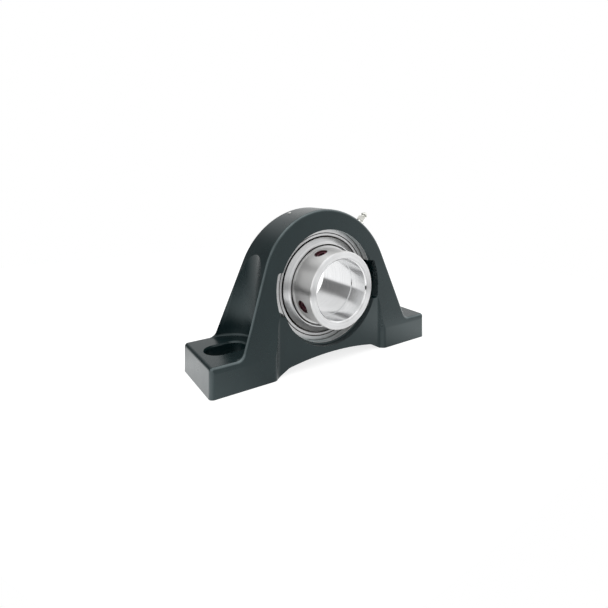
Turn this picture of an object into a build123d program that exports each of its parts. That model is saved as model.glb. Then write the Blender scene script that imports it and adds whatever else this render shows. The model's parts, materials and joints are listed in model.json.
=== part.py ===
"""Two-bolt pillow block bearing with a self-aligning ball insert.

Millimetres. X runs along the base, Y along the shaft and Z up. The origin is the middle of the base
plane, between the two bolt slots. The long end of the inner ring, with its set screws, points to -Y.
"""

import os
from math import acos, atan2, cos, hypot, radians, sin, sqrt

from build123d import *

# ---------------------------------------------------------------- inner ring
bore_radius = 25.4
bore_chamfer = 1.4
inner_wall = 6.146  # bore to the floor of the ball groove
collar_wall = 6.65
collar_radius = bore_radius + collar_wall
collar_chamfer = 0.8
flinger_seat_step = 0.95
flinger_seat_radius = collar_radius + flinger_seat_step
inner_land_step = 1.2
inner_land_radius = flinger_seat_radius + inner_land_step

# ---------------------------------------------------------------- balls and cage
ball_count = 10
ball_radius = 7.144
ball_clearance = 0.06
pitch_radius = bore_radius + inner_wall + ball_clearance + ball_radius
outer_groove_ease = 0.286  # how much the groove's radius exceeds the ball's
inner_groove_ease = 0.216
outer_groove_radius = ball_radius + outer_groove_ease
inner_groove_radius = ball_radius + inner_groove_ease
cage_sheet = 0.9
cage_width = 5.1
cage_inner_radius = pitch_radius - cage_width / 2
cage_outer_radius = pitch_radius + cage_width / 2
pocket_clearance = 0.15
rivet_radius = 1.0
rivet_head_radius = 1.7
rivet_head_height = 0.8
rivet_head_flat = 0.2

# ---------------------------------------------------------------- outer ring
outer_wall = 4.046  # floor of the ball groove to the spherical outside
insert_radius = pitch_radius + ball_radius + ball_clearance + outer_wall
outer_groove_depth = 3.254
outer_land_radius = insert_radius - outer_wall - outer_groove_depth
cage_to_seal = 0.406
seal_seat_depth = 3.9
seal_seat_step = 1.4
seal_seat_radius = outer_land_radius + seal_seat_step
seal_seat_bevel = 0.5
outer_ring_width = 2 * (ball_radius + pocket_clearance + cage_sheet + cage_to_seal + seal_seat_depth)
outer_ring_chamfer = 0.5
grease_groove_width = 3.0
grease_groove_depth = 0.8
feed_hole_radius = 0.9

# ---------------------------------------------------------------- seals and flingers
seal_face_gap = 0.2
seal_rim_wall = 1.8
seal_rim_radius = seal_seat_radius - seal_rim_wall
seal_sheet = 0.85
seal_web_gap = 2.7  # filled by the rubber lip
seal_web_radius = inner_land_radius + seal_web_gap
lip_clearance = 0.1
lip_reach = 1.7
lip_thickness = 0.6
lip_overhang = 0.6  # how far the inner ring's land runs out past the lip
inner_land_width = outer_ring_width + 2 * (lip_reach + lip_overhang - seal_seat_depth)
flinger_gap = 1.4
flinger_radius = seal_rim_radius - flinger_gap
flinger_sheet = 0.9
flinger_groove = 1.4
flinger_crest = 0.7
flinger_crest_radius = flinger_seat_radius + flinger_sheet + flinger_groove + flinger_crest
flinger_shoulder_gap = 0.4
flinger_back_plane = inner_land_width / 2 + flinger_shoulder_gap
flinger_hub_length = 4.0
flinger_hub_plane = flinger_back_plane + flinger_hub_length
flinger_height = 4.7
flinger_crest_plane = flinger_back_plane + flinger_height
flinger_face_gap = 0.2
flinger_edge_plane = outer_ring_width / 2 + flinger_face_gap
flinger_seat_margin = 0.2
flinger_seat_end = flinger_hub_plane + flinger_seat_margin

# ---------------------------------------------------------------- set screws and the ring's two ends
screw_angles = (111.0, 203.0)  # degrees from +X towards +Z
screw_setback = 9.5  # flinger seat to the screws
screw_plane = -flinger_seat_end - screw_setback
screw_radius = 4.7
screw_clearance = 0.08
screw_length = 4.8
screw_socket = 4.76
screw_socket_depth = 2.9
screw_point_radius = 2.6
screw_chamfer = 0.7
screw_backed_off = 0.7  # tip to shaft before tightening
screw_hole_chamfer = 0.85
screw_relief_margin = 0.67
screw_relief_depth = 0.5
screw_end_margin = 14.8
front_extension = screw_end_margin - screw_plane
rear_collar = 8.5
rear_extension = flinger_seat_end + rear_collar

# ---------------------------------------------------------------- insert seat in the housing
seat_clearance = 0.05
mouth_step = 2.1
mouth_radius = insert_radius - mouth_step
mouth_margin = 7.5
mouth_width = outer_ring_width + 2 * mouth_margin
relief_chamfer = 1.0
relief_step = 1.4
relief_radius = mouth_radius + relief_step
entry_depth = 3.5
entry_radius = insert_radius + entry_depth
entry_clearance = 4.5
entry_height = outer_ring_width + 2 * entry_clearance
entry_corner = 3.0

# ---------------------------------------------------------------- bolt slots and wrench pockets
base_width = 60.0
foot_height = 22.4
slot_width = 20.0
slot_length = 33.0
slot_rim = 1.2
pocket_wall = 3.0
wrench_pocket_radius = base_width / 2 - pocket_wall
pocket_floor_round = 2.0
pocket_to_entry = 5.0
bolt_spacing = 2 * (entry_radius + pocket_to_entry + wrench_pocket_radius)

# ---------------------------------------------------------------- housing casting
slot_to_end = 7.5
base_length = bolt_spacing + slot_length + 2 * slot_to_end
seat_floor = 4.5  # iron between the seat and the arch
arch_rise = 9.0
shaft_height = insert_radius + seat_floor + arch_rise
dome_wall = 15.5
dome_radius = insert_radius + dome_wall
crown_lip = 3.5
crown_thickness = outer_ring_width + 2 * crown_lip  # front to back at the top of the dome
edge_round = 2.4
lean_drop = 2.0
lean_start = foot_height - edge_round - lean_drop  # height where the upright faces start to lean in
flank_inset = 1.0
flank_reach = bolt_spacing / 2 - flank_inset  # half span of the flanks where they meet the feet
flank_fillet = 6.0
foot_corner = 3.5
web_depth = 3.7  # the middle of the body is set back this much from the feet
web_to_pocket = 2.0
web_span = bolt_spacing - 2 * (wrench_pocket_radius + web_to_pocket)
web_round = 5.0
arch_inset = 3.5
arch_span = web_span - 2 * arch_inset
arch_ramp = 10.0
arch_crown = 3.7
arch_round = 8.0

# ---------------------------------------------------------------- grease fitting
grease_inset = 5.25
grease_plane = grease_inset - outer_ring_width / 2  # Y of the fitting and of the groove in the ring
grease_angle = 48.0  # degrees from +X towards +Z
grease_passage_radius = 1.5
fitting_thread_radius = 3.0
fitting_thread_length = 5.5
fitting_thread_chamfer = 0.6
fitting_standoff = 4.4
fitting_hex = 7.0
fitting_hex_height = 4.0
fitting_shoulder = 1.2
fitting_neck_radius = 2.3
fitting_head_radius = 3.25
fitting_head_length = 3.6
fitting_height = 13.8
fitting_bore_radius = 1.5
fitting_mouth_radius = 0.9
check_seat_depth = 2.0
check_ball_radius = 1.25
check_ball_gap = 0.05
check_spring_radius = 1.05
check_spring_wire = 0.32
check_spring_turns = 4
check_bore_depth = 10.2
check_spring_seat = fitting_height - check_bore_depth

# ---------------------------------------------------------------- lock pin of the outer ring
lock_pin_angle = 110.0
lock_pin_inset = 4.5
lock_pin_plane = outer_ring_width / 2 - lock_pin_inset
lock_pin_radius = 1.6
lock_pin_chamfer = 0.3
lock_pin_stand = 0.6
lock_pin_depth = 1.7
lock_pin_tip = insert_radius - lock_pin_depth
lock_slot_clearance = 0.3
lock_slot_width = 2 * (lock_pin_radius + lock_slot_clearance)
lock_slot_swing = 2.0
lock_slot_start = lock_pin_plane - lock_pin_radius - lock_slot_swing
lock_floor_gap = 0.8
lock_slot_floor = lock_pin_tip - lock_floor_gap

centre = Vector(0, 0, shaft_height)
shaft_axis = Axis(centre, (0, -1, 0))
shaft_plane = Plane(centre, x_dir=(1, 0, 0), z_dir=(0, -1, 0))
section_plane = Plane(centre, x_dir=(0, 0, 1), z_dir=(-1, 0, 0))  # radius across, Y up
crown = shaft_height + dome_radius


def turned(*points):
    """A solid of revolution about the shaft axis from (Y, radius) corners."""
    profile = make_face(Polyline(*[(radius, y) for y, radius in points], close=True))
    return revolve(section_plane * profile, shaft_axis)


def shaft_cylinder(radius, y_low, y_high):
    """A cylinder about the shaft axis between two Y planes."""
    return turned((y_low, 0), (y_high, 0), (y_high, radius), (y_low, radius))


def shaft_ring(inner, outer, y_low, y_high):
    """A plain ring about the shaft axis between two Y planes."""
    return turned((y_low, inner), (y_high, inner), (y_high, outer), (y_low, outer))


def on_ring(angle, y, radius):
    """A frame on a radius of the shaft, its Z pointing outwards."""
    outward = Vector(cos(radians(angle)), 0, sin(radians(angle)))
    return Plane(centre + outward * radius + Vector(0, y, 0), x_dir=(0, 1, 0), z_dir=outward)


def radial_cylinder(angle, y, radius, low, high):
    """A cylinder whose axis is a radius of the shaft, between two distances from the shaft axis."""
    return on_ring(angle, y, low) * extrude(Circle(radius), high - low)


def body_outline():
    """Front view of the housing: round dome, straight flanks and two square feet."""
    half, reach, drop = base_length / 2, flank_reach, foot_height - shaft_height
    touch_angle = atan2(drop, reach) + acos(dome_radius / hypot(reach, drop))
    touch = (dome_radius * cos(touch_angle), shaft_height + dome_radius * sin(touch_angle))
    across = (-touch[0], touch[1])
    lines = Curve() + [
        Polyline(across, (-reach, foot_height), (-half, foot_height), (-half, 0), (half, 0)),
        Polyline((half, 0), (half, foot_height), (reach, foot_height), touch),
        ThreePointArc(touch, (0, crown), across),
    ]
    face = make_face(lines)
    roots = [corner for corner in face.vertices() if abs(abs(corner.X) - reach) < 0.01]
    return fillet(roots, flank_fillet)


def half_thickness(height):
    """Half the front-to-back size of the casting at a height above the lean's start."""
    lean = (base_width - crown_thickness) / 2 / (crown - lean_start)
    return base_width / 2 - lean * (height - lean_start)


def body_section():
    """Side view of the housing: upright faces at the feet that lean in towards the crown."""
    half, top = base_width / 2, crown + edge_round
    return make_face(
        Polyline(
            (-half, 0),
            (half, 0),
            (half, lean_start),
            (half_thickness(top), top),
            (-half_thickness(top), top),
            (-half, lean_start),
            close=True,
        )
    )


def casting():
    """The body with its rounded edges, before the pockets and the seat."""
    front = extrude(Plane.XZ * body_outline(), base_width / 2, both=True)
    side = extrude(Plane.YZ * body_section(), base_length / 2, both=True)
    plan = extrude(RectangleRounded(base_length, base_width, foot_corner), crown)
    body = front & side & plan

    def leaning(point):
        return abs(abs(point.Y) - half_thickness(point.Z)) < 0.01

    rims = []
    for edge in body.edges():
        start, middle = edge @ 0, edge @ 0.5
        if min(start.Z, middle.Z) < foot_height - 0.01:
            continue
        on_end = abs(middle.Z - foot_height) < 0.01 and abs(middle.X) > base_length / 2 - foot_corner
        if on_end or (leaning(start) and leaning(middle)):
            rims.append(edge)
    return fillet(rims, edge_round)


def wrench_pocket(side):
    """The upright round pocket in a flank that lets the bolt and its spanner in."""
    pocket = extrude(Circle(wrench_pocket_radius), crown)
    pocket = fillet(pocket.edges().group_by(Axis.Z)[0], pocket_floor_round)
    return Pos(side * bolt_spacing / 2, 0, foot_height) * pocket


def bolt_slot(side):
    """A bolt slot along X with a bevelled upper rim."""
    place = Pos(side * bolt_spacing / 2, 0, 0)
    slot = extrude(SlotOverall(slot_length, slot_width), foot_height + 1)
    rim = SlotOverall(slot_length + 2 * slot_rim, slot_width + 2 * slot_rim)
    bevel = extrude(Pos(0, 0, foot_height) * rim, -2 * slot_rim, taper=45)
    return place * (slot + bevel)


def arch():
    """The shallow arch under the middle of the base."""
    foot, shoulder, rise = arch_span / 2, arch_span / 2 - arch_ramp, arch_rise - arch_crown
    lines = Curve() + [
        Polyline((shoulder, rise), (foot, 0), (foot, -1), (-foot, -1), (-foot, 0), (-shoulder, rise)),
        ThreePointArc((-shoulder, rise), (0, arch_rise), (shoulder, rise)),
    ]
    face = make_face(lines)
    shoulders = [corner for corner in face.vertices() if abs(corner.Y - rise) < 0.01]
    return extrude(Plane.XZ * fillet(shoulders, arch_round), base_width, both=True)


def web_recess():
    """What is taken off the front of the body between the feet, eased in and out at both ends."""
    half, past = web_span / 2, web_span / 2 + web_round
    lines = Polyline(
        (-past, -1),
        (-past, 0),
        (-half, 0),
        (web_depth - half, web_depth),
        (half - web_depth, web_depth),
        (half, 0),
        (past, 0),
        (past, -1),
        close=True,
    )
    face = make_face(lines)
    corners = [corner for corner in face.vertices() if abs(corner.X) < half + 0.01]
    return Pos(0, -base_width / 2, -1) * extrude(fillet(corners, web_round), shaft_height)


def insert_seat():
    """The spherical seat, its machined mouths and the cast relief in front of them."""
    reach = base_width / 2 + 1
    seat = Pos(centre) * Sphere(insert_radius + seat_clearance)
    seat &= shaft_cylinder(insert_radius + 1, -outer_ring_width, outer_ring_width)
    mouth = shaft_cylinder(mouth_radius, -reach, reach)
    edge, deep = mouth_width / 2, mouth_width / 2 + relief_chamfer
    relief = turned((edge, 0), (edge, mouth_radius), (deep, relief_radius), (reach, relief_radius), (reach, 0))
    return seat + mouth + relief + mirror(relief, Plane.XZ)


def entry_slot():
    """The two notches that let the insert in edgewise from the front, their ends round with the seat."""
    reach = base_width / 2 + 1
    face = Circle(entry_radius) & Rectangle(3 * entry_radius, entry_height)
    return shaft_plane * extrude(fillet(face.vertices(), entry_corner), reach)


def make_housing():
    body = casting()
    for side in (-1, 1):
        body -= wrench_pocket(side)
        body -= bolt_slot(side)
    body -= web_recess()
    body -= mirror(web_recess(), Plane.XZ)
    body -= arch()
    body -= insert_seat()
    body -= entry_slot()
    thread_end = dome_radius - fitting_thread_length
    body -= radial_cylinder(grease_angle, grease_plane, grease_passage_radius, mouth_radius, dome_radius)
    body -= radial_cylinder(grease_angle, grease_plane, fitting_thread_radius, thread_end, dome_radius + 2)
    body -= radial_cylinder(lock_pin_angle, lock_pin_plane, lock_pin_radius, mouth_radius - 2, dome_radius + 2)
    return body


def make_grease_fitting():
    """Threaded shank, hexagon, neck and nipple head with the passage for the check ball."""
    place = on_ring(grease_angle, grease_plane, dome_radius)
    shoulder = fitting_standoff + fitting_hex_height
    head = fitting_height - fitting_head_length
    lines = Polyline(
        (0, -fitting_thread_length),
        (fitting_thread_radius - fitting_thread_chamfer, -fitting_thread_length),
        (fitting_thread_radius, fitting_thread_chamfer - fitting_thread_length),
        (fitting_thread_radius, shoulder),
        (fitting_neck_radius, shoulder + fitting_shoulder),
        (fitting_neck_radius, head),
        (fitting_head_radius, head + fitting_head_radius - fitting_neck_radius),
        (fitting_head_radius, fitting_height - check_seat_depth),
        (2 * fitting_mouth_radius, fitting_height),
        (0, fitting_height),
        close=True,
    )
    shank = revolve(Plane.XZ * make_face(lines), Axis.Z)
    hexagon = extrude(RegularPolygon(fitting_hex / 2, 6, major_radius=False), fitting_hex_height)
    throat = check_seat_height() + fitting_bore_radius - fitting_mouth_radius
    passage = Polyline(
        (0, -fitting_thread_length - 1),
        (fitting_mouth_radius, -fitting_thread_length - 1),
        (fitting_mouth_radius, check_spring_seat),
        (fitting_bore_radius, check_spring_seat),
        (fitting_bore_radius, check_seat_height()),
        (fitting_mouth_radius, throat),
        (fitting_mouth_radius, fitting_height + 1),
        (0, fitting_height + 1),
        close=True,
    )
    bore = revolve(Plane.XZ * make_face(passage), Axis.Z)
    return place * (shank + Pos(0, 0, fitting_standoff) * hexagon - bore)


def check_seat_height():
    """Height above the dome where the fitting's bore starts to close in on its mouth."""
    return fitting_height - check_seat_depth


def check_ball_height():
    """Height of the check ball's centre above the dome when it closes the fitting."""
    return check_seat_height() + fitting_bore_radius - sqrt(2) * (check_ball_radius + check_ball_gap)


def make_check_ball():
    return on_ring(grease_angle, grease_plane, dome_radius + check_ball_height()) * Sphere(check_ball_radius)


def make_check_spring():
    """The coil under the check ball."""
    reach = check_ball_radius + check_spring_wire / 2 + check_ball_gap
    top = check_ball_height() - sqrt(reach**2 - check_spring_radius**2)
    bottom = check_spring_seat + check_spring_wire / 2 + check_ball_gap
    path = Helix((top - bottom) / check_spring_turns, top - bottom, check_spring_radius)
    coil = sweep(Plane(path @ 0, z_dir=path % 0) * Circle(check_spring_wire / 2), path, is_frenet=True)
    return on_ring(grease_angle, grease_plane, dome_radius) * Pos(0, 0, bottom) * coil


def make_lock_pin():
    pin = radial_cylinder(
        lock_pin_angle, lock_pin_plane, lock_pin_radius, lock_pin_tip, dome_radius + lock_pin_stand
    )
    return chamfer(pin.edges().filter_by(GeomType.CIRCLE), lock_pin_chamfer)


def make_outer_ring():
    half, bevel = outer_ring_width / 2, outer_ring_chamfer
    shoulder = half - seal_seat_depth
    mouth, lip = seal_seat_radius + seal_seat_bevel, half - seal_seat_bevel
    edge = sqrt(insert_radius**2 - (half - bevel) ** 2)
    lines = Curve() + [
        Polyline((edge, half - bevel), (edge - bevel, half), (mouth, half), (seal_seat_radius, lip)),
        Polyline((seal_seat_radius, lip), (seal_seat_radius, shoulder), (outer_land_radius, shoulder)),
        Line((outer_land_radius, shoulder), (outer_land_radius, -shoulder)),
        Polyline((outer_land_radius, -shoulder), (seal_seat_radius, -shoulder), (seal_seat_radius, -lip)),
        Polyline((seal_seat_radius, -lip), (mouth, -half), (edge - bevel, -half), (edge, bevel - half)),
        ThreePointArc((edge, bevel - half), (insert_radius, 0), (edge, half - bevel)),
    ]
    ring = revolve(section_plane * make_face(lines), shaft_axis)
    groove_centre = pitch_radius + ball_radius + ball_clearance - outer_groove_radius
    ring -= shaft_plane * Torus(groove_centre, outer_groove_radius)
    groove_floor = sqrt(insert_radius**2 - grease_plane**2) - grease_groove_depth
    low, high = grease_plane - grease_groove_width / 2, grease_plane + grease_groove_width / 2
    ring -= shaft_ring(groove_floor, insert_radius + 1, low, high)
    for angle in (grease_angle, grease_angle + 180):
        ring -= radial_cylinder(angle, grease_plane, feed_hole_radius, outer_land_radius - 2, insert_radius)
    length = half + 2 - lock_slot_start
    place = on_ring(lock_pin_angle, lock_slot_start + length / 2, lock_slot_floor)
    return ring - place * extrude(Rectangle(length, lock_slot_width), insert_radius - lock_slot_floor + 1)


def make_inner_ring():
    land, seat = inner_land_width / 2, flinger_seat_end
    front, rear = front_extension, rear_extension
    ring = turned(
        (-front, bore_radius + bore_chamfer),
        (-front + bore_chamfer, bore_radius),
        (rear - bore_chamfer, bore_radius),
        (rear, bore_radius + bore_chamfer),
        (rear, collar_radius - collar_chamfer),
        (rear - collar_chamfer, collar_radius),
        (seat, collar_radius),
        (seat, flinger_seat_radius),
        (land, flinger_seat_radius),
        (land, inner_land_radius),
        (-land, inner_land_radius),
        (-land, flinger_seat_radius),
        (-seat, flinger_seat_radius),
        (-seat, collar_radius),
        (-front + collar_chamfer, collar_radius),
        (-front, collar_radius - collar_chamfer),
    )
    groove_centre = pitch_radius - ball_radius - ball_clearance + inner_groove_radius
    ring -= shaft_plane * Torus(groove_centre, inner_groove_radius)
    hole = screw_radius + screw_clearance
    low, high = screw_plane - hole - screw_relief_margin, screw_plane + hole + screw_relief_margin
    ring -= shaft_ring(bore_radius - 1, bore_radius + screw_relief_depth, low, high)
    rise = 2 * screw_hole_chamfer
    rim = Cone(hole, hole + rise, rise, align=(Align.CENTER, Align.CENTER, Align.MIN))
    for angle in screw_angles:
        ring -= radial_cylinder(angle, screw_plane, hole, bore_radius - 2, collar_radius + 2)
        ring -= on_ring(angle, screw_plane, collar_radius - screw_hole_chamfer) * rim
    return ring


def make_set_screw(angle):
    """Cup-point socket set screw, its tip just clear of the shaft."""
    tip = bore_radius + screw_backed_off
    lines = Polyline(
        (0, screw_point_radius * 0.6),
        (screw_point_radius, 0),
        (screw_radius, screw_radius - screw_point_radius),
        (screw_radius, screw_length - screw_chamfer),
        (screw_radius - screw_chamfer, screw_length),
        (0, screw_length),
        close=True,
    )
    screw = revolve(Plane.XZ * make_face(lines), Axis.Z)
    socket = RegularPolygon(screw_socket / 2, 6, major_radius=False)
    screw -= Pos(0, 0, screw_length - screw_socket_depth) * extrude(socket, screw_socket_depth + 1)
    return on_ring(angle, screw_plane, tip) * screw


def ball_place(index):
    return on_ring(index * 360 / ball_count, 0, pitch_radius)


def rivet_place(index):
    """Midway between two balls, its Z along the shaft."""
    return on_ring((index + 0.5) * 360 / ball_count, 0, pitch_radius).location * Rot(0, 90, 0)


def make_ball(index):
    return ball_place(index) * Sphere(ball_radius)


def make_cage_half():
    """The rear pressed ribbon: half pockets round the balls, joined by flat pads."""
    pocket = ball_radius + pocket_clearance
    ribbon = shaft_ring(cage_inner_radius, cage_outer_radius, 0, cage_sheet)
    band = shaft_ring(cage_inner_radius, cage_outer_radius, 0, pocket + cage_sheet + 1)
    for index in range(ball_count):
        ribbon += ball_place(index) * Sphere(pocket + cage_sheet) & band
    for index in range(ball_count):
        ribbon -= ball_place(index) * Sphere(pocket)
        ribbon -= rivet_place(index) * extrude(Circle(rivet_radius), 2 * cage_sheet, both=True)
    return ribbon


def make_cage_rivets():
    """Ten rivets, one through each pair of pads."""
    end = cage_sheet + rivet_head_height
    flat = cage_sheet + rivet_head_flat
    lines = Curve() + [
        Polyline((rivet_head_radius, flat), (rivet_head_radius, cage_sheet), (rivet_radius, cage_sheet)),
        Line((rivet_radius, cage_sheet), (rivet_radius, -cage_sheet)),
        Polyline((rivet_radius, -cage_sheet), (rivet_head_radius, -cage_sheet), (rivet_head_radius, -flat)),
        TangentArc((0, -end), (rivet_head_radius, -flat), tangent=(1, 0)),
        Line((0, -end), (0, end)),
        TangentArc((0, end), (rivet_head_radius, flat), tangent=(1, 0)),
    ]
    rivet = revolve(Plane.XZ * make_face(lines), Axis.Z)
    return Compound([rivet_place(index) * rivet for index in range(ball_count)])


def make_seal_plate(side):
    """Steel ring pressed into the outer ring, with a rim and a flat web."""
    face = outer_ring_width / 2 - seal_face_gap
    back = outer_ring_width / 2 - seal_seat_depth
    return turned(
        (side * face, seal_seat_radius),
        (side * back, seal_seat_radius),
        (side * back, seal_web_radius),
        (side * (back + seal_sheet), seal_web_radius),
        (side * (back + seal_sheet), seal_rim_radius),
        (side * face, seal_rim_radius),
    )


def make_seal_lip(side):
    """Rubber lip on the inner edge of the seal plate, leaning out along the inner ring."""
    back = outer_ring_width / 2 - seal_seat_depth
    tip = inner_land_radius + lip_clearance
    return turned(
        (side * back, seal_web_radius),
        (side * (back + seal_sheet), seal_web_radius),
        (side * (back + lip_reach), tip),
        (side * (back + lip_reach - lip_thickness), tip),
    )


def make_flinger(side):
    """Pressed steel disc on the inner ring: hub, narrow groove and a dished skirt over the seal."""
    hub, groove = flinger_seat_radius + flinger_sheet, flinger_seat_radius + flinger_sheet + flinger_groove
    slope = (flinger_crest_plane - flinger_edge_plane) / (flinger_radius - flinger_crest_radius)
    behind = flinger_sheet * sqrt(1 + slope**2)
    leg = groove + flinger_sheet
    under_leg = flinger_crest_plane - slope * (leg - flinger_crest_radius) - behind
    return turned(
        (side * flinger_hub_plane, flinger_seat_radius),
        (side * flinger_back_plane, flinger_seat_radius),
        (side * flinger_back_plane, leg),
        (side * under_leg, leg),
        (side * (flinger_edge_plane - behind), flinger_radius),
        (side * flinger_edge_plane, flinger_radius),
        (side * flinger_crest_plane, flinger_crest_radius),
        (side * flinger_crest_plane, groove),
        (side * (flinger_back_plane + flinger_sheet), groove),
        (side * (flinger_back_plane + flinger_sheet), hub),
        (side * flinger_hub_plane, hub),
    )


def make_parts():
    parts = {
        "housing": make_housing(),
        "ring_lock_pin": make_lock_pin(),
        "grease_fitting_body": make_grease_fitting(),
        "grease_fitting_ball": make_check_ball(),
        "grease_fitting_spring": make_check_spring(),
        "outer_ring": make_outer_ring(),
        "inner_ring": make_inner_ring(),
        "cage_front_half": mirror(make_cage_half(), Plane.XZ),
        "cage_rear_half": make_cage_half(),
        "cage_rivets": make_cage_rivets(),
    }
    for name, side in (("front", -1), ("rear", 1)):
        parts[f"{name}_seal_plate"] = make_seal_plate(side)
        parts[f"{name}_seal_lip"] = make_seal_lip(side)
        parts[f"{name}_flinger"] = make_flinger(side)
    for index, angle in enumerate(screw_angles):
        parts[f"set_screw_{index + 1}"] = make_set_screw(angle)
    for index in range(ball_count):
        parts[f"ball_{index + 1:02d}"] = make_ball(index)
    return parts


if __name__ == "__main__":
    os.makedirs("parts", exist_ok=True)
    for part_name, part in make_parts().items():
        export_step(part, f"parts/{part_name}.step")
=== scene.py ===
import json
import math

import bmesh
import bpy
from mathutils import Matrix, Vector


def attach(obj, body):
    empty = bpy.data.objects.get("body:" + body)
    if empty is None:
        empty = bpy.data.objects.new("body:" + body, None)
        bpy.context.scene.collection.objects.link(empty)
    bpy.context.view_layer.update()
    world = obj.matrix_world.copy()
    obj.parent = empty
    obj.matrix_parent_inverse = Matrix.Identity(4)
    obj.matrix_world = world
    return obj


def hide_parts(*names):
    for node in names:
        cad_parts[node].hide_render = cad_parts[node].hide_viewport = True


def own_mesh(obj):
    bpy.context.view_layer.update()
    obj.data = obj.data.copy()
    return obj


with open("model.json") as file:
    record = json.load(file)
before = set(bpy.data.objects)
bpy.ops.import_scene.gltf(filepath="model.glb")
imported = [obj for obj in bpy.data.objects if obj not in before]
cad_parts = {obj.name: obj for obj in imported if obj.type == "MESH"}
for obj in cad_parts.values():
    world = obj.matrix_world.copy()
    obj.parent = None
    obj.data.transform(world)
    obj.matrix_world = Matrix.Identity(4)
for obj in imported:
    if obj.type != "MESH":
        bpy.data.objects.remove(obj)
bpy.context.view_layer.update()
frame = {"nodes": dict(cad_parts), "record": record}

# ---------------------------------------------------------------- places on the part, in metres
SHAFT_HEIGHT = 0.0635
# housing: bored seat, its mouths, the leaning faces and their rounded rims
SEAT_RADIUS = 0.0502
MOUTH_RADIUS = 0.048
MOUTH_DEPTH = 0.0203
SOLE_HEIGHT = 0.0001
BASE_DEPTH = 0.03
LEAN_START, LEAN_RATE = 0.018, 0.1261
RIM_DEPTH = 0.0027
# inner ring: bore, collar and the holes of its set screws
BORE_RADIUS = 0.0254
COLLAR_RADIUS = 0.03205
BORE_ROUND = (BORE_RADIUS + 0.0006, BORE_RADIUS + 0.0014)
COLLAR_ROUND = (COLLAR_RADIUS - 0.0006, COLLAR_RADIUS - 0.0002)
COLLAR_FACE = (BORE_RADIUS + 0.0008, COLLAR_RADIUS - 0.0006)
SCREW_ANGLES = (111.0, 203.0)
SCREW_PLANE = -0.0247
SCREW_HOLE_TINT_RADIUS = 0.0058
SCREW_HOLE_TINT_WANDER = 0.0006
# rings darkened on the steels, as inner and outer radius: old grease in the seams at the seal and
# at the ring's corner, and painted shade on the seal's hidden web, in the flinger's groove and in
# the gap at the collar
SEAL_WEB_SHADE = (0.0, 0.0423)
SEAL_SEAM = (0.0438, 0.045)
RING_CORNER = (0.048, 0.0495)
FLINGER_GROOVE_SHADE = (0.0337, 0.0352)
COLLAR_GAP_SHADE = (0.0319, 0.0326)
# the coil under the check ball of the grease fitting, on a radius of the shaft
COIL_ANGLE = 48.0
COIL_PLANE = -0.00725
COIL_FOOT = 0.06931
COIL_HEIGHT = 0.006637
COIL_RADIUS = 0.00105
COIL_WIRE = 0.00032
COIL_TURNS = 4
COIL_STEPS = 36 * COIL_TURNS
WIRE_SIDES = 12

# ---------------------------------------------------------------- colours
PAINT = ((0.0022, 0.0085, 0.01), (0.0038, 0.012, 0.0135))
PAINT_GLINT = (0.84, 0.98, 1.0, 1)
# lighter paint on the rims: wear, and a painted highlight along the rims
WORN_AND_HIGHLIGHT_PAINT = (0.105, 0.128, 0.133, 1)
CUT_IRON = ((0.36, 0.36, 0.355), (0.55, 0.55, 0.54))
# dark colour of the rings: old grease in seams, and painted shade in a groove, a gap and a hidden
# web
GREASE_AND_SHADE = (0.025, 0.022, 0.018, 1)
OUTER_STEEL = SEAL_STEEL = ((0.5, 0.505, 0.51), (0.64, 0.645, 0.65))
FLINGER_STEEL = ((0.52, 0.525, 0.53), (0.7, 0.705, 0.71))
RING_STEEL = ((0.74, 0.745, 0.75), (0.86, 0.865, 0.87))
COLLAR_STEEL = (0.7, 0.7, 0.695, 1)
SCREW_HOLE_TINT = (0.05, 0.018, 0.022, 1)
BALL_STEEL = ((0.7, 0.7, 0.7), (0.82, 0.82, 0.82))
CAGE_STEEL = ((0.42, 0.42, 0.41), (0.58, 0.58, 0.56))
ZINC = ((0.6, 0.6, 0.56), (0.78, 0.78, 0.74))
PIN_STEEL = ((0.5, 0.5, 0.49), (0.66, 0.66, 0.64))
SPRING_STEEL = ((0.4, 0.4, 0.4), (0.6, 0.6, 0.6))
BLACKENED = ((0.035, 0.02, 0.022), (0.21, 0.065, 0.09))
RUBBER = ((0.008, 0.008, 0.008), (0.03, 0.03, 0.03))
TABLE = ((0.36, 0.36, 0.36), (0.4, 0.4, 0.4))
WHITE = (1, 1, 1, 1)

# ---------------------------------------------------------------- studio
CAMERA_PLACE = (-0.21647, -0.31518, 0.15521)
CAMERA_TURN = 34.52
CAMERA_LENS = 25.11
CAMERA_SENSOR = 36
CAMERA_SHIFT = (-0.0193, -0.2053)

TABLE_CORNERS = ((-0.17, -0.21), (0.5, -0.21), (0.5, 0.6), (-0.6, 0.6))
TABLE_DROP = 0.0002
TABLE_GLOW = 0.7
TABLE_WHITE = TABLE_GLOW + 0.08
LEFT_GLOW, RIGHT_GLOW = 0.9, 1.3
GLOW_START, GLOW_FULL = 0.06, 0.12
GLOW_CENTRE = -0.03
GLOW_FAR, GLOW_NEAR = 0.13, 0.07

WALL_LEFT, WALL_RIGHT = 0.2, 0.95
# light level against the height of the direction that it comes from
BACK_LEVELS = (
    (-0.05, 1.05), (0.05, 0.0), (0.48, 0.0), (0.56, 1.1), (0.62, 1.1), (0.68, 0.7), (0.95, 0.9)
)
FRONT_LEVELS = ((-0.13, 0.03), (-0.07, 1.0), (0.4, 1.1), (0.95, 1.0))
LAMP_AIM = (0, 0, 0.06)
# name, place, width and height, watts
SOFTBOXES = (
    ("left_softbox", (-0.95, -0.3, 0.36), (0.8, 0.8), 2.2),
    ("top_softbox", (-0.1, -0.05, 1.0), (0.9, 0.9), 2.8),
)


# ---------------------------------------------------------------- node helpers
def connect(tree, socket, value):
    """Links a socket to another one, or sets its own value."""
    if isinstance(value, bpy.types.NodeSocket):
        tree.links.new(value, socket)
    else:
        socket.default_value = value


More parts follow.
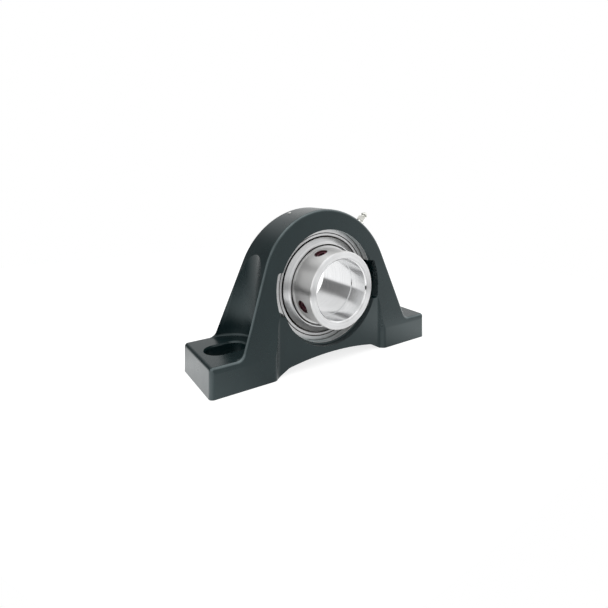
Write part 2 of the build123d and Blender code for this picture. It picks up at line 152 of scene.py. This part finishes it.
def add(tree, kind, links=None, **settings):
    """A node with its settings, and its inputs linked or set by name."""
    node = tree.nodes.new("ShaderNode" + kind)
    for name, value in settings.items():
        setattr(node, name, value)
    for name, value in (links or {}).items():
        connect(tree, node.inputs[name], value)
    return node


def maths(tree, operation, first, second=0.0, third=0.0):
    node = add(tree, "Math", {0: first, 1: second, 2: third}, operation=operation)
    return node.outputs[0]


def square(tree, value):
    return maths(tree, "POWER", value, 2.0)


def map_range(tree, value, start, end, low=0.0, high=1.0, smooth=False):
    """Low at start, high at end, and held beyond them."""
    links = {"Value": value, "From Min": start, "From Max": end, "To Min": low, "To Max": high}
    kind = "SMOOTHSTEP" if smooth else "LINEAR"
    return add(tree, "MapRange", links, interpolation_type=kind).outputs["Result"]


def blend_value(tree, factor, low, high):
    node = add(tree, "Mix", {"Factor": factor, "A": low, "B": high}, data_type="FLOAT")
    return node.outputs[0]


def blend_colour(tree, factor, low, high):
    """Mixes two colours; a Mix node's colour sockets are its seventh and eighth."""
    node = add(tree, "Mix", data_type="RGBA")
    for index, value in ((0, factor), (6, low), (7, high)):
        connect(tree, node.inputs[index], value)
    return node.outputs[2]


def two_tone(tree, factor, tones, start=0.3, end=0.7):
    """A colour that runs from the first tone to the second between two values of factor."""
    ramp = add(tree, "ValToRGB", {"Fac": factor})
    for stop, place, tone in zip(ramp.color_ramp.elements, (start, end), tones):
        stop.position = place
        stop.color = (*tone, 1)
    return ramp.outputs["Color"]


def noise(tree, vector, scale, detail, **links):
    links = {"Vector": vector, "Scale": scale, "Detail": detail, **links}
    return add(tree, "TexNoise", links).outputs["Fac"]


def strongest(tree, masks):
    """The highest of a few masks."""
    found = masks[0]
    for mask in masks[1:]:
        found = maths(tree, "MAXIMUM", found, mask)
    return found


def shaft_frame(tree, place):
    """X, Y and Z of a place, its height over the shaft axis and its distance from it."""
    apart = add(tree, "SeparateXYZ", {0: place})
    x, y, z = apart.outputs["X"], apart.outputs["Y"], apart.outputs["Z"]
    up = maths(tree, "SUBTRACT", z, SHAFT_HEIGHT)
    radius = maths(tree, "SQRT", maths(tree, "ADD", square(tree, x), square(tree, up)))
    return x, y, z, up, radius


# ---------------------------------------------------------------- shared effects
def new_group(name, inputs, outputs):
    """An empty shader node group; inputs give each float's default, or None for a vector."""
    group = bpy.data.node_groups.new(name, "ShaderNodeTree")
    for title, value in inputs.items():
        kind = "NodeSocketVector" if value is None else "NodeSocketFloat"
        socket = group.interface.new_socket(title, in_out="INPUT", socket_type=kind)
        if value is not None:
            socket.default_value = value
    for title in outputs:
        group.interface.new_socket(title, in_out="OUTPUT", socket_type="NodeSocketFloat")
    given, out = group.nodes.new("NodeGroupInput"), group.nodes.new("NodeGroupOutput")
    return group, given.outputs, out.inputs


def use_group(tree, group, **links):
    """A copy of a group; an input is named by its title in lower case."""
    node = tree.nodes.new("ShaderNodeGroup")
    node.node_tree = group
    for name, value in links.items():
        connect(tree, node.inputs[name.title()], value)
    return node.outputs


def make_cast_skin():
    """Sand-cast skin under paint: a fine grain over a slow ripple."""
    inputs = {"Vector": None, "Grain": 900.0, "Ripple": 60.0}
    group, given, out = new_group("cast skin", inputs, ("Height", "Mottle"))
    vector, fineness = given["Vector"], given["Grain"]
    grain = noise(group, vector, fineness, 4.0, Roughness=0.6)
    ripple = noise(group, vector, given["Ripple"], 3.0)
    size = maths(group, "MULTIPLY", fineness, 0.55)
    pits = add(group, "TexVoronoi", {"Vector": vector, "Scale": size}).outputs["Distance"]
    height = maths(group, "MULTIPLY_ADD", ripple, 1.6, grain)
    height = maths(group, "MULTIPLY_ADD", pits, 0.5, height)
    group.links.new(height, out["Height"])
    group.links.new(ripple, out["Mottle"])
    return group


def make_turning_marks():
    """Lathe marks round the shaft: they change along the radius and along the shaft only."""
    inputs = {"Vector": None, "Pitch": 2600.0, "Wander": 0.35}
    group, given, out = new_group("turning marks", inputs, ("Height", "Streak"))
    _, along, _, _, radius = shaft_frame(group, given["Vector"])
    path = maths(group, "ADD", radius, along)
    coarse = maths(group, "MULTIPLY", given["Pitch"], 0.16)
    fine, broad = (
        add(group, "TexNoise", {"W": path, "Scale": pitch, "Detail": 2.0}, noise_dimensions="1D")
        for pitch in (given["Pitch"], coarse)
    )
    patch = noise(group, given["Vector"], 90.0, 2.0)
    streak = blend_value(group, given["Wander"], broad.outputs["Fac"], patch)
    group.links.new(fine.outputs["Fac"], out["Height"])
    group.links.new(streak, out["Streak"])
    return group


def make_handling():
    """Faint oil and finger smears that only change the gloss."""
    inputs = {"Vector": None, "Base": 0.3, "Swing": 0.1, "Size": 55.0}
    group, given, out = new_group("handling", inputs, ("Roughness",))
    smear = noise(group, given["Vector"], given["Size"], 5.0, Distortion=0.8)
    centred = maths(group, "SUBTRACT", smear, 0.5)
    swing = maths(group, "MULTIPLY", given["Swing"], 2.0)
    rough = maths(group, "MULTIPLY_ADD", centred, swing, given["Base"])
    group.links.new(rough, out["Roughness"])
    return group


def make_rim_wear_and_highlight():
    """Paint on the rounded rims between a leaning face and the flanks or dome: rubbed smooth, and
    lighter as a painted highlight that is strongest on rims facing upwards.
    """
    inputs = {"Vector": None, "Facing": None, "Size": 45.0}
    group, given, out = new_group("rim wear and painted highlight", inputs, ("WearAndHighlight",))
    facing = add(group, "SeparateXYZ", {0: given["Facing"]}).outputs
    turned = maths(group, "SUBTRACT", maths(group, "ABSOLUTE", facing["Y"]), 0.6)
    rim = map_range(group, maths(group, "ABSOLUTE", turned), 0.38, 0.2)
    place = add(group, "SeparateXYZ", {0: given["Vector"]}).outputs
    above = maths(group, "SUBTRACT", place["Z"], LEAN_START)
    lean = maths(group, "MULTIPLY", maths(group, "MAXIMUM", above, 0.0), LEAN_RATE)
    face = maths(group, "SUBTRACT", BASE_DEPTH - RIM_DEPTH, lean)
    outer = maths(group, "GREATER_THAN", maths(group, "ABSOLUTE", place["Y"]), face)
    patch = noise(group, given["Vector"], given["Size"], 2.0)
    uneven = map_range(group, patch, 0.35, 0.65, low=0.45)
    # painted highlight: rims that face upwards keep more of the lighter colour
    upward_highlight = map_range(group, facing["Z"], 0.0, 0.5, low=0.3)
    rubbed_and_lit = maths(group, "MULTIPLY", maths(group, "MULTIPLY", rim, uneven), upward_highlight)
    group.links.new(maths(group, "MULTIPLY", rubbed_and_lit, outer), out["WearAndHighlight"])
    return group


def make_radial_band():
    """A ring round the shaft axis: 1 between two distances from it, soft at both edges."""
    inputs = {"Radius": 0.0, "Inner": 0.0, "Outer": 0.0, "Softness": 0.0002}
    group, given, out = new_group("radial band", inputs, ("Mask",))
    radius, soft = given["Radius"], given["Softness"]
    past = maths(group, "DIVIDE", maths(group, "SUBTRACT", radius, given["Inner"]), soft)
    short = maths(group, "DIVIDE", maths(group, "SUBTRACT", given["Outer"], radius), soft)
    band = add(group, "Clamp", {"Value": maths(group, "MINIMUM", past, short)})
    group.links.new(band.outputs["Result"], out["Mask"])
    return group


CAST_SKIN = make_cast_skin()
RIM_WEAR_AND_HIGHLIGHT = make_rim_wear_and_highlight()
TURNING = make_turning_marks()
HANDLING = make_handling()
RADIAL_BAND = make_radial_band()


def new_material(name):
    """A material with its node tree, its shader and the object's own coordinates."""
    material = bpy.data.materials.new(name)
    material.use_nodes = True
    tree = material.node_tree
    place = add(tree, "TexCoord").outputs["Object"]
    return material, tree, tree.nodes["Principled BSDF"].inputs, place


def finish_surface(tree, shader, colour, rough, height, depth, strength=1.0):
    """Gives the shader its colour, its roughness and a bump of so many metres."""
    bump = add(tree, "Bump", {"Strength": strength, "Distance": depth, "Height": height})
    tree.links.new(colour, shader["Base Color"])
    tree.links.new(rough, shader["Roughness"])
    tree.links.new(bump.outputs["Normal"], shader["Normal"])


# ---------------------------------------------------------------- housing
def machined_mask(tree, place):
    """1 on the bored seat with its mouths and on the soles of the feet, 0 on painted iron."""
    _, y, z, _, radius = shaft_frame(tree, place)
    deep = maths(tree, "LESS_THAN", maths(tree, "ABSOLUTE", y), MOUTH_DEPTH)
    mouth = maths(tree, "MULTIPLY", maths(tree, "LESS_THAN", radius, MOUTH_RADIUS), deep)
    reach = maths(tree, "ADD", square(tree, radius), square(tree, y))
    seat = maths(tree, "LESS_THAN", reach, SEAT_RADIUS**2)
    sole = maths(tree, "LESS_THAN", z, SOLE_HEIGHT)
    return strongest(tree, (seat, mouth, sole))


def make_cast_paint():
    """Satin charcoal paint on sand-cast iron, worn thin on the rims and lighter there as a painted
    highlight, bare where a tool has cut.
    """
    material, tree, shader, place = new_material("charcoal_casting_paint")
    skin = use_group(tree, CAST_SKIN, vector=place, grain=1300.0, ripple=75.0)
    turned = use_group(tree, TURNING, vector=place, pitch=1500.0)
    facing = add(tree, "TexCoord").outputs["Normal"]
    rim_wear_and_highlight = use_group(tree, RIM_WEAR_AND_HIGHLIGHT, vector=place, facing=facing)["WearAndHighlight"]
    smeared = use_group(tree, HANDLING, vector=place, base=0.28, swing=0.05, size=40.0)
    bare = machined_mask(tree, place)
    # the rims take the lighter paint: wear, and a painted highlight
    paint = blend_colour(tree, rim_wear_and_highlight, two_tone(tree, skin["Mottle"], PAINT), WORN_AND_HIGHLIGHT_PAINT)
    colour = blend_colour(tree, bare, paint, two_tone(tree, turned["Streak"], CUT_IRON))
    gloss = blend_value(tree, rim_wear_and_highlight, smeared["Roughness"], 0.26)
    rough = blend_value(tree, bare, gloss, 0.42)
    height = blend_value(tree, bare, skin["Height"], turned["Height"])
    tree.links.new(bare, shader["Metallic"])
    shader["Specular IOR Level"].default_value = 0.45
    shader["Specular Tint"].default_value = PAINT_GLINT
    finish_surface(tree, shader, colour, rough, height, 0.00004, 0.4)
    return material


# ---------------------------------------------------------------- steels, screws and rubber
def make_steel(
    name, tones, base, swing, pitch=2600.0, depth=0.000003, wander=0.35, grease_and_shade_rings=()
):
    """Bare steel with lathe marks, and darker rings: old grease in seams, and painted shade in
    grooves, gaps and on hidden webs.
    """
    material, tree, shader, place = new_material(name)
    turned = use_group(tree, TURNING, vector=place, pitch=pitch, wander=wander)
    colour = two_tone(tree, turned["Streak"], tones)
    if grease_and_shade_rings:
        radius = shaft_frame(tree, place)[-1]
        bands = [
            use_group(tree, RADIAL_BAND, radius=radius, inner=inner, outer=outer)["Mask"]
            for inner, outer in grease_and_shade_rings
        ]
        # the listed rings take the dark colour: grease in seams, painted shade elsewhere
        colour = blend_colour(tree, strongest(tree, bands), colour, GREASE_AND_SHADE)
    rough = use_group(tree, HANDLING, vector=place, base=base, swing=swing)["Roughness"]
    shader["Metallic"].default_value = 1.0
    finish_surface(tree, shader, colour, rough, turned["Height"], depth)
    return material


def screw_hole_tint(tree, place):
    """1 on the walls and rims of the two set-screw holes and a little past them, with a ragged
    edge.
    """
    x, y, _, up, _ = shaft_frame(tree, place)
    off = square(tree, maths(tree, "ABSOLUTE", maths(tree, "SUBTRACT", y, SCREW_PLANE)))
    edge_noise = noise(tree, place, 500.0, 2.0)
    edge = maths(tree, "MULTIPLY_ADD", edge_noise, 2 * SCREW_HOLE_TINT_WANDER, SCREW_HOLE_TINT_RADIUS - SCREW_HOLE_TINT_WANDER)
    tinted_holes = []
    for angle in SCREW_ANGLES:
        sine, cosine = math.sin(math.radians(angle)), math.cos(math.radians(angle))
        along = maths(tree, "MULTIPLY_ADD", x, cosine, maths(tree, "MULTIPLY", up, sine))
        across = maths(tree, "MULTIPLY_ADD", x, sine, maths(tree, "MULTIPLY", up, -cosine))
        away = maths(tree, "SQRT", maths(tree, "MULTIPLY_ADD", across, across, off))
        near = maths(tree, "LESS_THAN", away, edge)
        same_side = maths(tree, "GREATER_THAN", along, 0.0)
        tinted_holes.append(maths(tree, "MULTIPLY", near, same_side))
    return strongest(tree, tinted_holes)


def make_ring_steel():
    """The inner ring: a smooth ground bore, with the collar's outside and face left duller.

    The grain spreads a reflection along the shaft, as fine turning marks do.
    """
    material, tree, shader, place = new_material("ground_ring_steel")
    turned = use_group(tree, TURNING, vector=place, pitch=5000.0)
    radius = shaft_frame(tree, place)[-1]
    bore, collar = (
        use_group(tree, HANDLING, vector=place, base=base, swing=0.03)["Roughness"]
        for base in (0.17, 0.4)
    )
    rough = blend_value(tree, map_range(tree, radius, *BORE_ROUND), bore, collar)
    inner, outer = COLLAR_FACE
    face = use_group(tree, RADIAL_BAND, radius=radius, inner=inner, outer=outer)["Mask"]
    rough = blend_value(tree, face, rough, 0.5)
    ground = two_tone(tree, turned["Streak"], RING_STEEL)
    outside = map_range(tree, radius, *COLLAR_ROUND)
    clean = blend_colour(tree, outside, ground, COLLAR_STEEL)
    # the walls and rims of the set-screw holes are coloured dark red-black
    colour = blend_colour(tree, screw_hole_tint(tree, place), clean, SCREW_HOLE_TINT)
    shader["Metallic"].default_value = 1.0
    shader["Anisotropic"].default_value = 0.97
    shader["Anisotropic Rotation"].default_value = 0.25
    around = add(tree, "Tangent", direction_type="RADIAL", axis="Y")
    tree.links.new(around.outputs["Tangent"], shader["Tangent"])
    finish_surface(tree, shader, colour, rough, turned["Height"], 0.0000006)
    return material


def make_screw_finish():
    """Blackened steel with dried red thread lock in patches."""
    material, tree, shader, place = new_material("screw_black_and_thread_lock")
    patch = noise(tree, place, 420.0, 3.0)
    colour = two_tone(tree, patch, BLACKENED, 0.42, 0.62)
    tree.links.new(maths(tree, "SUBTRACT", 0.9, patch), shader["Metallic"])
    smear = use_group(tree, HANDLING, vector=place, base=0.38, swing=0.1, size=300.0)
    finish_surface(tree, shader, colour, smear["Roughness"], patch, 0.00004, 0.5)
    return material


def make_rubber():
    """Dull black seal lips with a fine grain."""
    material, tree, shader, place = new_material("seal_lip_rubber")
    grain = noise(tree, place, 700.0, 3.0)
    colour = two_tone(tree, grain, RUBBER, 0.0, 1.0)
    smear = use_group(tree, HANDLING, vector=place, base=0.6, swing=0.08)
    finish_surface(tree, shader, colour, smear["Roughness"], grain, 0.00003, 0.5)
    return material


def dress_nodes():
    """Gives every CAD node the finish of its material slot; the outer ring has its own."""
    outer_steel = make_steel(
        "honed_outer_ring_steel", OUTER_STEEL, 0.4, 0.06, 1200.0, wander=0.3,
        grease_and_shade_rings=(SEAL_SEAM, RING_CORNER),
    )
    finishes = {
        "cast_body": make_cast_paint(),
        "bearing_steel": make_ring_steel(),
        "ball_steel": make_steel(
            "polished_ball_steel", BALL_STEEL, 0.08, 0.02, depth=0.000002
        ),
        "cage_steel": make_steel("pressed_cage_steel", CAGE_STEEL, 0.38, 0.06, 900.0),
        "seal_steel": make_steel(
            "pressed_seal_steel", SEAL_STEEL, 0.42, 0.06, 1200.0, wander=0.3,
            grease_and_shade_rings=(SEAL_WEB_SHADE,),
        ),
        "flinger_steel": make_steel(
            "pressed_flinger_steel", FLINGER_STEEL, 0.32, 0.06, 2200.0, wander=0.3,
            grease_and_shade_rings=(FLINGER_GROOVE_SHADE, COLLAR_GAP_SHADE),
        ),
        "seal_rubber": make_rubber(),
        "screw_steel": make_screw_finish(),
        "plated_steel": make_steel("zinc_plate", ZINC, 0.28, 0.08, 700.0, wander=0.8),
        "pin_steel": make_steel("lock_pin_steel", PIN_STEEL, 0.3, 0.06),
        "spring_steel": make_steel("spring_wire", SPRING_STEEL, 0.3, 0.05),
    }
    for row in frame["record"]["subparts"]:
        finish = outer_steel if row["node"] == "outer_ring" else finishes[row["material_slot"]]
        materials = frame["nodes"][row["node"]].data.materials
        materials.clear()
        materials.append(finish)
    make_check_coil(finishes["spring_steel"])


# ---------------------------------------------------------------- new pieces
def add_piece(name, form, finish):
    """An object at the origin with the form's mesh and one material."""
    mesh = bpy.data.meshes.new(name)
    form.to_mesh(mesh)
    form.free()
    mesh.materials.append(finish)
    piece = bpy.data.objects.new(name, mesh)
    bpy.context.scene.collection.objects.link(piece)
    return piece


def make_check_coil(finish):
    """The coil under the check ball, built at one fixed length; the real one shortens as the ball
    is pushed in.
    """
    form = bmesh.new()
    circle = bmesh.ops.create_circle(
        form, cap_ends=True, segments=WIRE_SIDES, radius=COIL_WIRE / 2
    )
    slope = math.atan2(COIL_HEIGHT, 2 * math.pi * COIL_RADIUS * COIL_TURNS)
    upright = Matrix.Rotation(math.radians(90) + slope, 3, "X")
    bmesh.ops.rotate(form, verts=circle["verts"], matrix=upright)
    bmesh.ops.translate(form, verts=circle["verts"], vec=(COIL_RADIUS, 0, 0))
    bmesh.ops.spin(
        form,
        geom=form.verts[:] + form.edges[:] + form.faces[:],
        axis=(0, 0, 1),
        dvec=(0, 0, COIL_HEIGHT / COIL_STEPS),
        angle=2 * math.pi * COIL_TURNS,
        steps=COIL_STEPS,
    )
    bmesh.ops.recalc_face_normals(form, faces=form.faces)
    for face in form.faces:
        face.smooth = len(face.verts) == 4
    turn = math.radians(COIL_ANGLE)
    outward = Vector((math.cos(turn), 0, math.sin(turn)))
    foot = Vector((0, COIL_PLANE, SHAFT_HEIGHT)) + outward * COIL_FOOT
    sideways = Vector((0, 1, 0))
    axes = Matrix((sideways, outward.cross(sideways), outward)).transposed()
    place = Matrix.Translation(foot) @ axes.to_4x4()
    bmesh.ops.transform(form, verts=form.verts, matrix=place)
    coil = add_piece("check_ball_coil", form, finish)
    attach(coil, "housing_body")
    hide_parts("grease_fitting_spring")
    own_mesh(coil)


# ---------------------------------------------------------------- studio
def table_level(tree, place):
    """The table's own light: white to the camera, and to a reflection brighter at two sides."""
    apart = add(tree, "SeparateXYZ", {0: place}).outputs
    left = map_range(tree, apart["X"], -GLOW_START, -GLOW_FULL, high=LEFT_GLOW)
    right = map_range(tree, apart["X"], GLOW_START, GLOW_FULL, high=RIGHT_GLOW)
    off = maths(tree, "ABSOLUTE", maths(tree, "SUBTRACT", apart["Y"], GLOW_CENTRE))
    near = map_range(tree, off, GLOW_FAR, GLOW_NEAR)
    sides = maths(tree, "ADD", left, right)
    level = maths(tree, "MULTIPLY_ADD", sides, near, TABLE_GLOW)
    path = add(tree, "LightPath").outputs
    mirrored = maths(tree, "MAXIMUM", path["Is Glossy Ray"], path["Is Transmission Ray"])
    level = maths(tree, "MULTIPLY", mirrored, level)
    return maths(tree, "MULTIPLY_ADD", path["Is Camera Ray"], TABLE_WHITE, level)


def make_floor():
    """A pale paper table a little larger than the view."""
    material, tree, shader, place = new_material("table_paper")
    fibre = noise(tree, place, 400.0, 3.0)
    tree.links.new(two_tone(tree, fibre, TABLE, 0.0, 1.0), shader["Base Color"])
    shader["Roughness"].default_value = 0.9
    shader["Specular IOR Level"].default_value = 0.0
    glow = add(tree, "Emission", {"Color": WHITE, "Strength": table_level(tree, place)})
    paper = tree.nodes["Principled BSDF"]
    both = add(tree, "AddShader", {0: paper.outputs[0], 1: glow.outputs[0]})
    tree.links.new(both.outputs[0], tree.nodes["Material Output"].inputs["Surface"])
    form = bmesh.new()
    form.faces.new([form.verts.new((x, y, -TABLE_DROP)) for x, y in TABLE_CORNERS])
    add_piece("floor", form, material)


def level_ramp(tree, height, levels):
    """A light level for each height, from pairs of height and level."""
    ramp = add(tree, "ValToRGB", {"Fac": map_range(tree, height, -1.0, 1.0)})
    stops = ramp.color_ramp.elements
    while len(stops) < len(levels):
        stops.new(0.5)
    for stop, (up, level) in zip(stops, levels):
        stop.position = (up + 1) / 2
        stop.color = (level, level, level, 1)
    return ramp.outputs["Color"]


def back_level(tree, way):
    """Behind the part: a dark wall at the left, a pale one at the right and a pale ceiling."""
    wall = map_range(tree, way["X"], -0.15, 0.4, WALL_LEFT, WALL_RIGHT)
    return maths(tree, "MAXIMUM", level_ramp(tree, way["Z"], BACK_LEVELS), wall)


def front_level(tree, way):
    """Before the part: a pale wall, brighter to the right, over a dark gap past the table.

    The gap rises a little to the left, and there is none to the right.
    """
    tilt = map_range(tree, way["X"], -0.3, 0.3, -0.035, 0.01)
    lift = map_range(tree, way["X"], 0.2, 0.45, 0.0, 0.6)
    height = maths(tree, "ADD", maths(tree, "ADD", way["Z"], tilt), lift)
    across = map_range(tree, way["X"], 0.44, 0.72, 0.85, 1.35)
    return maths(tree, "MULTIPLY", level_ramp(tree, height, FRONT_LEVELS), across)


def make_world():
    """White to the camera, and a studio's walls and ceiling to everything else."""
    world = bpy.data.worlds.new("studio")
    bpy.context.scene.world = world
    world.use_nodes = True
    tree = world.node_tree
    tree.nodes.clear()
    way = add(tree, "SeparateXYZ", {0: add(tree, "TexCoord").outputs["Generated"]}).outputs
    front = map_range(tree, way["Y"], 0.55, 0.15, smooth=True)
    level = blend_value(tree, front, back_level(tree, way), front_level(tree, way))
    seen = add(tree, "LightPath").outputs["Is Camera Ray"]
    strength = blend_value(tree, seen, level, 1.0)
    sky = add(tree, "Background", {"Color": WHITE, "Strength": strength})
    out = add(tree, "OutputWorld")
    tree.links.new(sky.outputs[0], out.inputs["Surface"])


def make_lights():
    for name, place, size, power in SOFTBOXES:
        data = bpy.data.lights.new(name, "AREA")
        data.shape = "RECTANGLE"
        data.size, data.size_y = size
        data.energy = power
        lamp = bpy.data.objects.new(name, data)
        bpy.context.scene.collection.objects.link(lamp)
        lamp.location = place
        aim = Vector(LAMP_AIM) - Vector(place)
        lamp.rotation_euler = aim.to_track_quat("-Z", "Y").to_euler()


def make_camera():
    data = bpy.data.cameras.new("camera")
    data.sensor_width = CAMERA_SENSOR
    data.lens = CAMERA_LENS
    data.shift_x, data.shift_y = CAMERA_SHIFT
    data.clip_start = 0.01
    camera = bpy.data.objects.new("camera", data)
    bpy.context.scene.collection.objects.link(camera)
    camera.location = CAMERA_PLACE
    camera.rotation_euler = (math.radians(90), 0, math.radians(-CAMERA_TURN))
    bpy.context.scene.camera = camera


bpy.context.scene.view_settings.view_transform = "Standard"
dress_nodes()
make_floor()
make_world()
make_lights()
make_camera()
